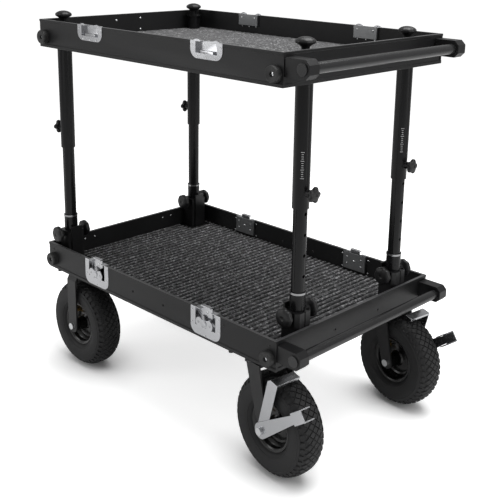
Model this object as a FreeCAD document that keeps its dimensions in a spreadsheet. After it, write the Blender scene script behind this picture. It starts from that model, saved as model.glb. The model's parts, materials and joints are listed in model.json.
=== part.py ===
import FreeCAD, Part

import math
import os
import re

import Sketcher

# Two-deck camera cart. Lengths are millimetres, angles are degrees.
# The cart is drawn with X along its length (handles at +X), Y across and Z up from the floor,
# about the middle of the trays. The last section moves it so that the origin lies on the floor,
# under the middle of its bounding box.

doc = FreeCAD.newDocument("CameraCart")
sheet = doc.addObject("Spreadsheet::Sheet", "Sizes")

SIZES = [
    ("origin_x", 0, "filled in last: moves the cart over the origin along X"),
    ("origin_y", 0, "filled in last: moves the cart over the origin along Y"),
    ("tray_length", 914, "both trays, outside"),
    ("tray_width", 594, "both trays, outside"),
    ("tray_floor_gap", 286, "floor to the underside of the lower tray"),
    ("tray_spacing", 648, "lower tray to upper tray at rest"),
    ("rail_tall", 75, "height of the tray walls"),
    ("rail_thick", 8, "wall thickness over the beads"),
    ("bead_proud", 1.5, "how far the edge beads stand out of the wall"),
    ("top_bead", 6, "height of the top bead"),
    ("foot_bead", 8, "height of the bottom bead"),
    ("deck_thick", 6, "deck board"),
    ("deck_rise", 8, "underside of the deck above the foot of the walls"),
    ("carpet_thick", 7, "carpet mat"),
    ("carpet_margin", 1, "gap between a mat and the walls"),
    ("notch_long", 64, "cut-out of the lower mat at a post, from the end wall"),
    ("notch_wide", 84, "cut-out of the lower mat at a post, across"),
    ("post_inset", 35, "post axis to the outside of the end wall"),
    ("right_post_inset", 108, "post axis to the outside of the side wall, handle end"),
    ("left_post_inset", 56, "post axis to the outside of the side wall, other end"),
    ("post_radius", 20, "sliding outer tube"),
    ("post_wall", 3, "sliding outer tube"),
    ("post_drop", 289, "outer tube below the upper tray"),
    ("post_rise", 58, "outer tube above the underside of the upper tray"),
    ("cap_radius", 23, "flange cap on the outer tube"),
    ("cap_thick", 4, "flange cap"),
    ("slide_gap", 0.3, "radial gap between inner and outer tube"),
    ("inner_wall", 3, "inner tube"),
    ("inner_tall", 539, "inner tube above the lower deck"),
    ("sleeve_radius", 19, "stub sleeve in the clamp"),
    ("sleeve_tall", 143, "stub sleeve above the lower deck"),
    ("ring_tall", 5, "plain ring on the sleeve's end"),
    ("ring_proud", 0.8, "ring over the sleeve"),
    ("hole_pitch", 50, "height steps along the inner tube"),
    ("hole_radius", 4, "height hole"),
    ("holes_down", 4, "steps below the rest height"),
    ("holes_up", 2, "steps above the rest height"),
    ("right_lock_rise", 38, "lock axis above the outer tube's lower end, handle end"),
    ("left_lock_rise", 54, "lock axis above the outer tube's lower end, other end"),
    ("boss_radius", 9, "threaded boss on the outer tube"),
    ("boss_reach", 29, "boss face from the post axis"),
    ("lock_stem", 4, "radius of the lock screw"),
    ("lock_radius", 19.5, "lock knob over its lobes"),
    ("lock_lobe", 6.5, "each of its lobes"),
    ("lock_thick", 16, "lock knob"),
    ("face_gap", 0.3, "gap between a turning face and what it turns on"),
    ("pin_gap", 0.08, "radial gap of a turning pin"),
    ("clamp_out", 25, "clamp block, outboard of the post axis"),
    ("clamp_in", 24, "clamp block, inboard of the post axis"),
    ("clamp_wide", 54, "clamp block across"),
    ("clamp_tall", 93, "clamp block above its foot plate"),
    ("clamp_bevel", 9, "corner bevel of the block"),
    ("clamp_slit", 3, "slit that closes on the sleeve"),
    ("clamp_hole", 4.5, "radius of the weight-saving bore beside the slit"),
    ("foot_thick", 4, "clamp foot plate"),
    ("foot_long", 50, "clamp foot plate along the cart"),
    ("foot_wide", 76, "clamp foot plate across"),
    ("back_thick", 5, "plate behind the clamp"),
    ("back_wide", 34, "plate behind the clamp"),
    ("back_tall", 111, "plate behind the clamp, above the deck"),
    ("bolt_radius", 4, "cross bolt through clamp and post"),
    ("bolt_rise", 89, "cross bolt above the deck"),
    ("clamp_knob_radius", 24, "cross bolt knob over its lobes"),
    ("clamp_lobe", 8, "each of its lobes"),
    ("clamp_knob_thick", 16, "cross bolt knob"),
    ("clamp_knob_reach", 38, "inner face of the knob from the post axis"),
    ("hub_radius", 10, "neck of a knob"),
    ("cap_knob_radius", 23, "mushroom knob over a post"),
    ("cap_knob_neck", 9, "its neck"),
    ("cap_knob_under", 13, "neck height"),
    ("cap_knob_rim", 9, "underside of the head up to its rim"),
    ("cap_knob_edge", 4, "height of the rim"),
    ("cap_knob_dome", 9, "dome above the rim"),
    ("bar_radius", 12.5, "handle bar"),
    ("bar_wall", 2, "handle bar"),
    ("bar_reach", 49, "bar axis from the end wall"),
    ("bar_drop", 31, "bar axis below the tray's top edge"),
    ("bar_cap_radius", 14, "cap on the bar's end"),
    ("bar_cap_thick", 3, "cap on the bar's end"),
    ("bracket_thick", 32, "handle bracket across"),
    ("bracket_tall", 42, "handle bracket"),
    ("bracket_end", 19, "bracket beyond the bar axis"),
    ("bracket_bevel", 11, "bracket corner bevel"),
    ("bracket_inset", 4, "bracket from the tray side"),
    ("bumper_radius", 19, "side bumper"),
    ("bumper_thick", 15, "side bumper"),
    ("bumper_bore", 5.5, "recess for its screw"),
    ("bumper_bore_deep", 8, "recess for its screw"),
    ("bumper_inset", 23, "bumper axis from the tray's end"),
    ("bumper_rise", 28, "bumper axis above the tray's underside"),
    ("accessory_hole", 3, "accessory hole radius"),
    ("accessory_drop", 38, "accessory holes below the top edge"),
    ("accessory_pitch", 124, "between the two accessory holes of a side wall"),
    ("end_pitch", 170, "between the two accessory holes of the handle end"),
    ("latch_place", 222, "latches and catches from the tray's middle"),
    ("dish_wide", 106, "latch dish flange"),
    ("dish_tall", 70, "latch dish flange"),
    ("dish_corner", 22, "lower corners of the flange"),
    ("bowl_wide", 74, "latch dish recess"),
    ("bowl_tall", 48, "latch dish recess, from the top edge"),
    ("bowl_deep", 13, "latch dish recess"),
    ("sheet_thick", 1.5, "pressed steel"),
    ("catch_tall", 40, "catch dish flange"),
    ("catch_bowl_tall", 29, "catch dish recess"),
    ("catch_bar_tall", 6, "keeper bar in the catch"),
    ("catch_bar_wide", 42, "keeper bar in the catch"),
    ("claw_slot_gap", 2, "claw to the sides of its slot"),
    ("pan_wide", 78, "cover inside the tray"),
    ("pan_tall", 50, "cover inside the lower tray"),
    ("catch_pan_tall", 33, "cover inside the upper tray"),
    ("fit_gap", 0.3, "gap around a fitted piece"),
    ("overcut", 1, "how far a bore or slit runs past the face that it opens"),
    ("handle_drop", 34, "butterfly axis below the top edge"),
    ("handle_wide", 60, "butterfly handle over both wings"),
    ("handle_tall", 26, "butterfly wing at its round end"),
    ("handle_waist", 18, "butterfly between its wings"),
    ("handle_thick", 3, "butterfly wing"),
    ("handle_proud", 3.8, "outer face of the butterfly in front of the wall"),
    ("handle_boss", 9, "butterfly centre"),
    ("handle_boss_proud", 1, "butterfly centre in front of its wings"),
    ("handle_shaft", 4, "butterfly shaft"),
    ("claw_wide", 34, "latch claw"),
    ("claw_thick", 3, "latch claw"),
    ("claw_low", 21, "claw's lower end below the top edge"),
    ("claw_high", 10, "claw above the top edge"),
    ("claw_hook", 7, "hook of the claw, outwards"),
    ("swivel_inset_x", 72, "swivel axis from the tray's end, handle end"),
    ("swivel_inset_y", 54, "swivel axis from the tray's side, handle end"),
    ("rigid_inset_x", 105, "axle of a rigid caster from the tray's end, other end"),
    ("rigid_inset_y", 54, "middle of a rigid caster from the tray's side, other end"),
    ("near_right_heading", -5, "caster heading about Z at rest"),
    ("far_right_heading", -7, "caster heading about Z at rest"),
    ("trail", 42, "axle behind the swivel axis"),
    ("plate_long", 100, "caster top plate, along the cart"),
    ("plate_wide", 88, "caster top plate, across"),
    ("plate_thick", 4, "caster top plate"),
    ("race_radius", 36, "swivel bearing"),
    ("race_thick", 4, "each half of the swivel bearing"),
    ("crown_thick", 6, "fork crown"),
    ("crown_front", 26, "crown ahead of the swivel axis"),
    ("crown_back", 26, "crown behind the swivel axis"),
    ("kingpin", 7, "radius of the swivel pin"),
    ("leg_thick", 5, "fork leg"),
    ("leg_gap", 6, "tyre to fork leg"),
    ("leg_top_back", 22, "leg at the crown, behind the swivel axis"),
    ("leg_top_front", 24, "leg at the crown, ahead of the swivel axis"),
    ("leg_end", 18, "radius of the leg's lower end"),
    ("rigid_leg", 40, "leg of a rigid caster, along the cart"),
    ("rigid_shoulder", 12.6, "how much narrower its bracket is at the top, on each side"),
    ("rigid_slope", 21, "height of the slope between the two"),
    ("rigid_corner", 1.4, "slope's lower corner inside the leg, below the one outside"),
    ("rigid_crook", 2.9, "slope's upper corner inside the leg, inward of the one outside"),
    ("axle_radius", 6, "axle bolt"),
    ("nut_radius", 9.5, "axle nut, over its corners"),
    ("nut_thick", 7, "axle nut"),
    ("wheel_radius", 127, "tyre, outside"),
    ("wheel_wide", 82, "tyre"),
    ("bead_radius", 56, "tyre and rim seat"),
    ("bead_half", 27.5, "half the tyre's width at the rim"),
    ("tyre_wall", 7, "tyre thickness"),
    ("lip_radius", 63, "rim lip"),
    ("lip_thick", 2, "rim lip"),
    ("rim_wall", 2.5, "rim channel"),
    ("well_radius", 50, "rim well"),
    ("well_half", 11, "half the rim well"),
    ("well_slope", 4, "run of the rim's slope from its seat to the well"),
    ("slope_shift", 1, "inner face of that slope, further out, so that the wall keeps its thickness"),
    ("disc_thick", 4, "rim disc"),
    ("wheel_hub", 18, "wheel hub radius"),
    ("hub_play", 1, "hub to fork leg"),
    ("brake_thick", 3, "brake stirrup and lever plate"),
    ("brake_tilt", 14, "stirrup ahead of upright"),
    ("brake_wide", 32, "stirrup plate along the tread"),
    ("brake_bevel", 8, "bevel of the stirrup plate's upper rear corner"),
    ("brake_foot", 16, "radius of the stirrup round the axle"),
    ("brake_clear", 12, "stirrup to tyre at rest"),
    ("brake_lip", 4, "lip turned down along the front of the shoe"),
    ("shoe_past", 16, "shoe beyond the middle of the tread"),
    ("brake_slot", 8, "how far the stirrup's axle slot runs above the axle"),
    ("brake_play", 0.5, "gap between leg, stirrup, lever and nut"),
    ("lever_tilt", 36, "lever above level at rest"),
    ("lever_hub", 20, "lever round the axle"),
    ("lever_wide", 21, "lever arm at the pedal"),
    ("lever_reach", 130, "lever arm from the axle to the pedal"),
    ("pedal_long", 39, "pedal along the lever"),
    ("pedal_tall", 30, "pedal over its two tabs"),
    ("pedal_wide", 30, "tabs of the pedal, over the tread"),
]

VALUE = {}
for row, (alias, value, note) in enumerate(SIZES, start=1):
    sheet.set(f"A{row}", alias)
    sheet.set(f"B{row}", str(value))
    sheet.set(f"C{row}", note)
    sheet.setAlias(f"B{row}", alias)
    VALUE[alias] = value
doc.recompute()


# Helpers: sizes are written as short formulas of the sheet's words.
WORD = re.compile(r"[a-z][a-z_]*")


def bound(formula):
    """The formula with each sheet word pointed at its cell."""
    return WORD.sub(lambda m: "Sizes." + m.group(0) if m.group(0) in VALUE else m.group(0), str(formula))


def bind(thing, **formulas):
    for name, formula in formulas.items():
        thing.setExpression(name, bound(formula))
    return thing


def place(thing, x="0", y="0", z="0", axis=None, angle="0"):
    """Puts a thing at a bound place, turned about one axis by a bound angle."""
    if axis:
        thing.Placement.Rotation = FreeCAD.Rotation(FreeCAD.Vector(*axis), 1)
        thing.setExpression("Placement.Rotation.Angle", bound(angle))
    for letter, formula in zip("xyz", (x, y, z)):
        thing.setExpression(f"Placement.Base.{letter}", bound(formula))
    return thing


def block(long, wide, tall, x="0", y="0", z="0"):
    """A box centred on x and y that stands on z."""
    thing = bind(doc.addObject("Part::Box", "Block"), Length=long, Width=wide, Height=tall)
    return place(thing, f"({x}) - ({long}) / 2", f"({y}) - ({wide}) / 2", z)


def rod(radius, long, x="0", y="0", z="0", along="z"):
    """A cylinder that starts at x, y, z and runs towards the positive end of an axis."""
    thing = bind(doc.addObject("Part::Cylinder", "Rod"), Radius=radius, Height=long)
    if along == "x":
        thing.Placement.Rotation = FreeCAD.Rotation(FreeCAD.Vector(0, 1, 0), 90)
    if along == "y":
        thing.Placement.Rotation = FreeCAD.Rotation(FreeCAD.Vector(1, 0, 0), -90)
    return place(thing, x, y, z)


def group(*things):
    thing = doc.addObject("Part::Compound", "Group")
    thing.Links = list(things)
    return thing


def joined(*things):
    thing = doc.addObject("Part::MultiFuse", "Joined")
    thing.Shapes = list(things)
    thing.Refine = True
    return thing


def cut(base, *tools):
    thing = doc.addObject("Part::Cut", "Cut")
    thing.Base = base
    thing.Tool = tools[0] if len(tools) == 1 else group(*tools)
    return thing


def sketched(plane, points):
    """A body with a closed outline on one of its own origin planes, each corner bound to the sheet."""
    body = doc.addObject("PartDesign::Body", "Piece")
    sketch = body.newObject("Sketcher::SketchObject", "Outline")
    origin_plane = next(f for f in body.Origin.OriginFeatures if f.Role == plane)
    sketch.AttachmentSupport = [(origin_plane, "")]
    sketch.MapMode = "FlatFace"
    count = len(points)
    start = [FreeCAD.Vector(10 * math.cos(math.tau * i / count), 10 * math.sin(math.tau * i / count), 0)
             for i in range(count)]
    for i in range(count):
        sketch.addGeometry(Part.LineSegment(start[i], start[(i + 1) % count]), False)
    for i in range(count):
        sketch.addConstraint(Sketcher.Constraint("Coincident", i, 2, (i + 1) % count, 1))
    for i, corner in enumerate(points):
        for kind, formula, value in zip(("DistanceX", "DistanceY"), corner, start[i]):
            index = sketch.addConstraint(Sketcher.Constraint(kind, -1, 1, i, 1, value))
            sketch.setExpression(f"Constraints[{index}]", bound(formula))
    return body, sketch


def padded(plane, points, thick):
    """XZ outlines grow towards -Y, YZ outlines towards +X and XY outlines towards +Z."""
    body, sketch = sketched(plane, points)
    pad = body.newObject("PartDesign::Pad", "Pad")
    pad.Profile = sketch
    bind(pad, Length=thick)
    return body


def turned(plane, points, axis):
    body, sketch = sketched(plane, points)
    turn = body.newObject("PartDesign::Revolution", "Turn")
    turn.Profile = sketch
    turn.ReferenceAxis = (sketch, [axis])
    turn.Angle = 360
    return body


NODES = {}


def node(label, thing, x="0", y="0", z="0", axis=None, angle="0"):
    """Names a finished piece and puts it in the cart."""
    thing.Label = label
    NODES[label] = place(thing, f"{x} + origin_x", f"{y} + origin_y", z, axis, angle)
    return thing


ENDS = {"right": 1, "left": -1}
SIDES = {"near": -1, "far": 1}
CORNERS = [(side, end) for end in ENDS for side in SIDES]
TRAYS = {"lower": "tray_floor_gap", "upper": "(tray_floor_gap + tray_spacing)"}
POST_X = "(tray_length / 2 - post_inset)"
DECK_TOP = "(tray_floor_gap + deck_rise + deck_thick)"
EDGE = {tray: f"({floor} + rail_tall)" for tray, floor in TRAYS.items()}
THROUGH_WALL = "(3 * rail_thick)"
THROUGH_PLATE = "(3 * brake_thick)"


def post_place(side, end):
    return f"({ENDS[end]} * {POST_X})", f"({SIDES[side]} * (tray_width / 2 - {end}_post_inset))"


def from_side(side, inward):
    """The Y of a point that lies this far inside the tray's side face."""
    return f"{SIDES[side]} * (tray_width / 2 - ({inward}))"


# Tray walls: extruded rails with a bead along the top and a foot along the bottom.
# The long rails run full length and the end rails fit between them.
def rail_outline(outside, sign):
    corners = [("0", "0"), ("0", "foot_bead"), ("bead_proud", "foot_bead"),
               ("bead_proud", "rail_tall - top_bead"), ("0", "rail_tall - top_bead"),
               ("0", "rail_tall"), ("rail_thick", "rail_tall"), ("rail_thick", "0")]
    return [(f"{sign} * ({outside} / 2 - {inward})", tall) for inward, tall in corners]


def rounded_slab(wide, tall, corner, inner, outer, x, side, top):
    """A plate with a straight top and two round lower corners, upright against a long wall."""
    deep = f"({inner} - ({outer}))"
    middle = from_side(side, f"(({inner}) + ({outer})) / 2")
    start = f"{middle} - {deep} / 2"
    low = f"{top} - {tall}"
    rods = [rod(corner, deep, f"{x} + {sign} * ({wide} / 2 - {corner})", start, f"{low} + {corner}", "y")
            for sign in (-1, 1)]
    return joined(block(wide, deep, f"{tall} - {corner}", x, middle, f"{low} + {corner}"),
                  block(f"{wide} - 2 * {corner}", deep, corner, x, middle, low), *rods)


def latch_window(x, side, tray, bowl, flange):
    """The opening in a long wall for a latch or catch dish."""
    top = EDGE[tray]
    return [block("bowl_wide + 2 * fit_gap", THROUGH_WALL, f"{bowl} + fit_gap + top_bead", x,
                  from_side(side, "rail_thick / 2"), f"{top} - {bowl} - fit_gap"),
            rounded_slab("(dish_wide + 2 * fit_gap)", f"({flange} + fit_gap + top_bead)",
                         "dish_corner", "sheet_thick", "-sheet_thick", x, side, f"({top} + top_bead)")]


for tray, floor in TRAYS.items():
    bowl, flange = ("bowl_tall", "dish_tall") if tray == "lower" else ("catch_bowl_tall", "catch_tall")
    for side, sign in SIDES.items():
        rail = padded("YZ_Plane", rail_outline("tray_width", sign), "tray_length")
        place(rail, "-tray_length / 2", "0", floor)
        tools = []
        for end in ENDS.values():
            tools += latch_window(f"{end} * latch_place", side, tray, bowl, flange)
            if tray == "lower":
                tools.append(rod("accessory_hole", THROUGH_WALL, f"{end} * accessory_pitch / 2",
                                 f"{from_side(side, 'rail_thick / 2')} - {THROUGH_WALL} / 2",
                                 f"{EDGE[tray]} - accessory_drop", "y"))
        node(f"{tray}_{side}_rail", cut(rail, *tools))
    rails = []
    for end, sign in ENDS.items():
        rail = padded("XZ_Plane", rail_outline("tray_length", sign), "tray_width - 2 * rail_thick")
        place(rail, "0", "tray_width / 2 - rail_thick", floor)
        if tray == "lower" and end == "right":
            rail = cut(rail, *[rod("accessory_hole", THROUGH_WALL, "tray_length / 2 - 2 * rail_thick",
                                   f"{way} * end_pitch / 2", f"{EDGE[tray]} - accessory_drop", "x")
                               for way in (-1, 1)])
        rails.append(rail)
    node(f"{tray}_end_rails", group(*rails))


# Decks and mats: a board inside the walls, raised so that the caster plates lie up between them,
# with carpet on it. The lower mat is notched round the clamps and the latch covers, and the upper
# deck and mat let the posts through.
COVER_DEEP = "(bowl_deep + fit_gap + sheet_thick)"

for tray, floor in TRAYS.items():
    deck_low = f"{floor} + deck_rise"
    mat_low = f"{deck_low} + deck_thick"
    deck = block("tray_length - 2 * rail_thick", "tray_width - 2 * rail_thick", "deck_thick", z=deck_low)
    mat = block("tray_length - 2 * (rail_thick + carpet_margin)",
                "tray_width - 2 * (rail_thick + carpet_margin)", "carpet_thick", z=mat_low)
    deck_cuts = []
    mat_cuts = []
    for side, end in CORNERS:
        x, y = post_place(side, end)
        if tray == "upper":
            deck_cuts.append(rod("post_radius", "deck_thick", x, y, deck_low))
            mat_cuts.append(rod("post_radius + carpet_margin", "carpet_thick", x, y, mat_low))
        else:
            notch_x = f"{ENDS[end]} * (tray_length / 2 - rail_thick - notch_long / 2)"
            mat_cuts.append(block("notch_long", "notch_wide", "carpet_thick", notch_x, y, mat_low))
            mat_cuts.append(block("pan_wide + 2 * carpet_margin", f"{COVER_DEEP} + carpet_margin",
                                  "carpet_thick", f"{ENDS[end]} * latch_place",
                                  from_side(side, f"({COVER_DEEP} + carpet_margin) / 2"), mat_low))
    node(f"{tray}_deck", cut(deck, *deck_cuts) if deck_cuts else group(deck))
    node(f"{tray}_carpet", cut(mat, *mat_cuts))


# Post clamps: a split block on a foot plate at each corner of the lower deck, with a taller plate
# behind. The slit faces the end wall.
def post_clamp(side, end):
    x, y = post_place(side, end)
    out = ENDS[end]
    foot_top = f"{DECK_TOP} + foot_thick"
    half = "clamp_wide / 2"
    outline = [("clamp_out", f"{half} - clamp_bevel"), ("clamp_out - clamp_bevel", half),
               ("-clamp_in", half), ("-clamp_in", f"-{half}"),
               ("clamp_out - clamp_bevel", f"-{half}"), ("clamp_out", f"-{half} + clamp_bevel")]
    body = padded("XY_Plane", [(f"{out} * ({a})", b) for a, b in outline], "clamp_tall")
    place(body, x, y, foot_top)
    back = block("back_thick", "back_wide", "back_tall", f"{x} - {out} * (clamp_in + back_thick / 2)", y,
                 DECK_TOP)
    foot = block("foot_long", "foot_wide", "foot_thick", x, y, DECK_TOP)
    tall = "clamp_tall + foot_thick"
    slit = block("clamp_out", "clamp_slit", tall,
                 f"{x} + {out} * (sleeve_radius + clamp_out / 2 - overcut)", y, foot_top)
    saving = rod("clamp_hole", tall, f"{x} + {out} * (clamp_out - clamp_bevel)",
                 f"{y} + {half} - clamp_bevel", foot_top)
    bolt_hole = rod("bolt_radius + pin_gap", "2 * clamp_wide", x, f"{y} - clamp_wide",
                    f"{DECK_TOP} + bolt_rise", "y")
    return cut(joined(body, back, foot), rod("sleeve_radius", tall, x, y, foot_top), slit, saving,
               bolt_hole)


node("post_clamps", group(*[post_clamp(*corner) for corner in CORNERS]))


# Fixed posts: a stub sleeve with a plain ring on its end holds the inner tube, which is drilled for
# the height steps on its outboard face.
def lock_height(end):
    """The lock axis above the floor."""
    return f"(tray_floor_gap + tray_spacing - post_drop + {end}_lock_rise)"


def fixed_post(side, end):
    x, y = post_place(side, end)
    start = f"{DECK_TOP} + foot_thick"
    outside = "(post_radius - post_wall - slide_gap)"
    bolt_hole = ("bolt_radius + pin_gap", "2 * post_radius", x, f"{y} - post_radius",
                 f"{DECK_TOP} + bolt_rise", "y")
    ring_low = f"{DECK_TOP} + sleeve_tall - ring_tall"
    sleeve = cut(joined(rod("sleeve_radius", "sleeve_tall - foot_thick", x, y, start),
                        rod("sleeve_radius + ring_proud", "ring_tall", x, y, ring_low)),
                 rod(outside, "inner_tall", x, y, start), rod(*bolt_hole))
    holes = []
    for step in range(-VALUE["holes_down"], VALUE["holes_up"] + 1):
        way = "-post_radius" if end == "left" else "0"
        holes.append(rod("hole_radius", "post_radius", f"{x} + {way}", y,
                         f"{lock_height(end)} + {step} * hole_pitch", "x"))
    tube = cut(rod(outside, "inner_tall - foot_thick", x, y, start),
               rod(f"{outside} - inner_wall", "inner_tall", x, y, start), rod(*bolt_hole), *holes)
    return [sleeve, tube]


node("lower_posts", group(*[piece for corner in CORNERS for piece in fixed_post(*corner)]))


# Sliding posts: outer tubes that hang from the upper tray, pass through its deck and end in a
# flange cap. Each has a threaded boss for its height lock, outboard.
def sliding_post(side, end):
    x, y = post_place(side, end)
    low = f"{TRAYS['upper']} - post_drop"
    tall = "post_drop + post_rise"
    out = ENDS[end]
    boss_start = f"{x}" if out > 0 else f"{x} - boss_reach"
    hole_start = f"{x}" if out > 0 else f"{x} - boss_reach - overcut"
    outside = joined(rod("post_radius", tall, x, y, low),
                     rod("cap_radius", "cap_thick", x, y, f"{low} + {tall}"),
                     rod("boss_radius", "boss_reach", boss_start, y, lock_height(end), "x"))
    return cut(outside, rod("post_radius - post_wall", tall, x, y, low),
               rod("lock_stem + pin_gap", "boss_reach + overcut", hole_start, y, lock_height(end), "x"))


node("upper_posts", group(*[sliding_post(*corner) for corner in CORNERS]))


# Knobs: lobed discs. The cross bolt has one on each end, the height lock one on its screw, and a
# mushroom knob tops each post.
CLAMP_LOBES = 8
LOCK_LOBES = 5
# Points of a mushroom knob's dome, as shares of its radius and of its dome's height.
DOME = ((0.82, 0.6), (0.5, 0.92))


def lobed(radius, lobe, thick, count, x, y, z, along):
    """A disc with round lobes; x, y, z is the middle of its lower face."""
    pieces = [rod(f"{radius} - {lobe} / 2", thick, x, y, z, along)]
    for turn in range(count):
        angle = math.tau * turn / count
        shift = [f" + {share:.5f} * ({radius} - {lobe})" for share in (math.cos(angle), math.sin(angle))]
        spot = (x + shift[0], y, z + shift[1]) if along == "y" else (x, y + shift[0], z + shift[1])
        pieces.append(rod(lobe, thick, *spot, along))
    return joined(*pieces)


for side, end in CORNERS:
    x, y = post_place(side, end)
    bolt_z = f"{DECK_TOP} + bolt_rise"
    pieces = [rod("bolt_radius", "2 * clamp_knob_reach", x, f"{y} - clamp_knob_reach", bolt_z, "y")]
    for way in (-1, 1):
        neck = "clamp_knob_reach - clamp_wide / 2 - face_gap"
        neck_start = f"{y} - clamp_knob_reach" if way < 0 else f"{y} + clamp_wide / 2 + face_gap"
        knob_start = f"{y} - clamp_knob_reach - clamp_knob_thick" if way < 0 else f"{y} + clamp_knob_reach"
        pieces.append(rod("hub_radius", neck, x, neck_start, bolt_z, "y"))
        pieces.append(lobed("clamp_knob_radius", "clamp_lobe", "clamp_knob_thick", CLAMP_LOBES,
                            x, knob_start, bolt_z, "y"))
    node(f"cross_bolt_{side}_{end}", joined(*pieces))

    out = ENDS[end]
    lock_z = lock_height(end)
    tip = "post_radius - post_wall + face_gap"
    stem = f"boss_reach + face_gap - ({tip})"
    stem_start = f"{x} + {tip}" if out > 0 else f"{x} - boss_reach - face_gap"
    knob_start = f"{x} + boss_reach + face_gap" if out > 0 else f"{x} - boss_reach - face_gap - lock_thick"
    node(f"height_lock_{side}_{end}",
         joined(rod("lock_stem", stem, stem_start, y, lock_z, "x"),
                lobed("lock_radius", "lock_lobe", "lock_thick", LOCK_LOBES, knob_start, y, lock_z, "x")))

    rim = "cap_knob_under + cap_knob_rim"
    edge = f"{rim} + cap_knob_edge"
    knob = turned("XZ_Plane",
                  [("0", "0"), ("cap_knob_neck", "0"), ("cap_knob_neck", "cap_knob_under"),
                   ("cap_knob_radius", rim), ("cap_knob_radius", edge),
                   *[(f"{out} * cap_knob_radius", f"{edge} + {up} * cap_knob_dome") for out, up in DOME],
                   ("0", f"{edge} + cap_knob_dome")], "V_Axis")
    node(f"cap_knob_{side}_{end}", knob, x, y, f"{TRAYS['upper']} + post_rise + cap_thick + face_gap")


# Handles: at the +X end of each tray a tube runs between two bevelled brackets and is capped.
for tray, floor in TRAYS.items():
    bar_x = "tray_length / 2 + bar_reach"
    bar_z = f"{EDGE[tray]} - bar_drop"
    half = "bracket_tall / 2"
    tip = "bar_reach + bracket_end"
    outline = [("0", half), (f"{tip} - bracket_bevel", half), (tip, f"{half} - bracket_bevel"),
               (tip, f"-{half} + bracket_bevel"), (f"{tip} - bracket_bevel", f"-{half}"), ("0", f"-{half}")]
    brackets = []
    for way, far_face in ((1, "tray_width / 2 - bracket_inset"),
                          (-1, "bracket_inset + bracket_thick - tray_width / 2")):
        bracket = padded("XZ_Plane", outline, "bracket_thick")
        place(bracket, "tray_length / 2", far_face, bar_z)
        brackets.append(cut(bracket, rod("bar_radius", "bracket_thick", bar_x, f"{far_face} - bracket_thick",
                                         bar_z, "y")))
    node(f"{tray}_handle_brackets", group(*brackets))
    bar_long = "tray_width - 2 * bracket_inset"
    bar = cut(rod("bar_radius", bar_long, bar_x, f"-({bar_long}) / 2", bar_z, "y"),
              rod("bar_radius - bar_wall", bar_long, bar_x, f"-({bar_long}) / 2", bar_z, "y"))
    caps = [rod("bar_cap_radius", "bar_cap_thick", bar_x, start, bar_z, "y")
            for start in (f"({bar_long}) / 2", f"-({bar_long}) / 2 - bar_cap_thick")]
    node(f"{tray}_handle_bar", group(bar, *caps))


# Bumpers: thick rubber discs near the lower corners of the long walls, recessed for their screws.
for tray, floor in TRAYS.items():
    discs = []
    for side, end in CORNERS:
        x = f"{ENDS[end]} * (tray_length / 2 - bumper_inset)"
        z = f"{floor} + bumper_rise"
        wall = "tray_width / 2 - bead_proud"
        start = f"{wall}" if side == "far" else f"-({wall}) - bumper_thick"
        bore = f"{wall} + bumper_thick - bumper_bore_deep" if side == "far" else f"-({wall}) - bumper_thick"
        discs.append(cut(rod("bumper_radius", "bumper_thick", x, start, z, "y"),
                         rod("bumper_bore", "bumper_bore_deep", x, bore, z, "y")))
    node(f"{tray}_bumpers", group(*discs))


# Latches: recessed dishes in the lower long walls, each with a butterfly handle that turns on a
# shaft and draws a hooked claw down. The upper walls have shallower catch dishes with a keeper bar.
FLOOR_IN = "(bowl_deep - sheet_thick)"


def dish(side, end, tray, tall, bowl):
    x = f"{ENDS[end]} * latch_place"
    top = EDGE[tray]
    flange = rounded_slab("dish_wide", tall, "dish_corner", "sheet_thick", "0", x, side, top)
    shell = block("bowl_wide", "bowl_deep - sheet_thick / 2", bowl, x,
                  from_side(side, "bowl_deep / 2 + sheet_thick / 4"), f"{top} - {bowl}")
    hollow = block("bowl_wide - 2 * sheet_thick", f"{FLOOR_IN} + sheet_thick",
                   f"{bowl} - 2 * sheet_thick", x, from_side(side, f"({FLOOR_IN} - sheet_thick) / 2"),
                   f"{top} - {bowl} + sheet_thick")
    slot = block("claw_wide + 2 * claw_slot_gap", f"{FLOOR_IN} + sheet_thick", "top_bead", x,
                 from_side(side, f"({FLOOR_IN} - sheet_thick) / 2"), f"{top} - top_bead + sheet_thick")
    return cut(joined(flange, shell), hollow, slot)


def cover(side, end, tray, tall):
    """A shallow pan over the back of a dish, inside the tray, open at the top."""
    x = f"{ENDS[end]} * latch_place"
    deep = f"({COVER_DEEP} - rail_thick)"
    low = f"{EDGE[tray]} - {tall}"
    return cut(block("pan_wide", deep, tall, x, from_side(side, f"rail_thick + {deep} / 2"), low),
               block("pan_wide - 2 * sheet_thick", deep, tall, x,
                     from_side(side, f"rail_thick + {deep} / 2 - sheet_thick"), f"{low} + sheet_thick"))


def keeper(side, end):
    x = f"{ENDS[end]} * latch_place"
    return block("catch_bar_wide", f"{FLOOR_IN} - sheet_thick", "catch_bar_tall", x,
                 from_side(side, f"({FLOOR_IN} + sheet_thick) / 2"),
                 f"{EDGE['upper']} - catch_bowl_tall + sheet_thick")


node("latch_dishes", group(*[dish(*corner, "lower", "dish_tall", "bowl_tall") for corner in CORNERS]))
node("latch_covers", group(*[cover(*corner, "lower", "pan_tall") for corner in CORNERS]))
node("catch_dishes", group(*[joined(dish(*corner, "upper", "catch_tall", "catch_bowl_tall"), keeper(*corner))
                             for corner in CORNERS]))
node("catch_covers", group(*[cover(*corner, "upper", "catch_pan_tall") for corner in CORNERS]))


def upright(side, inner, outer):
    """Depth and start, along Y, of a rod between two distances inside the side face."""
    start = from_side(side, inner) if side == "far" else from_side(side, outer)
    return f"({inner}) - ({outer})", start


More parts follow.
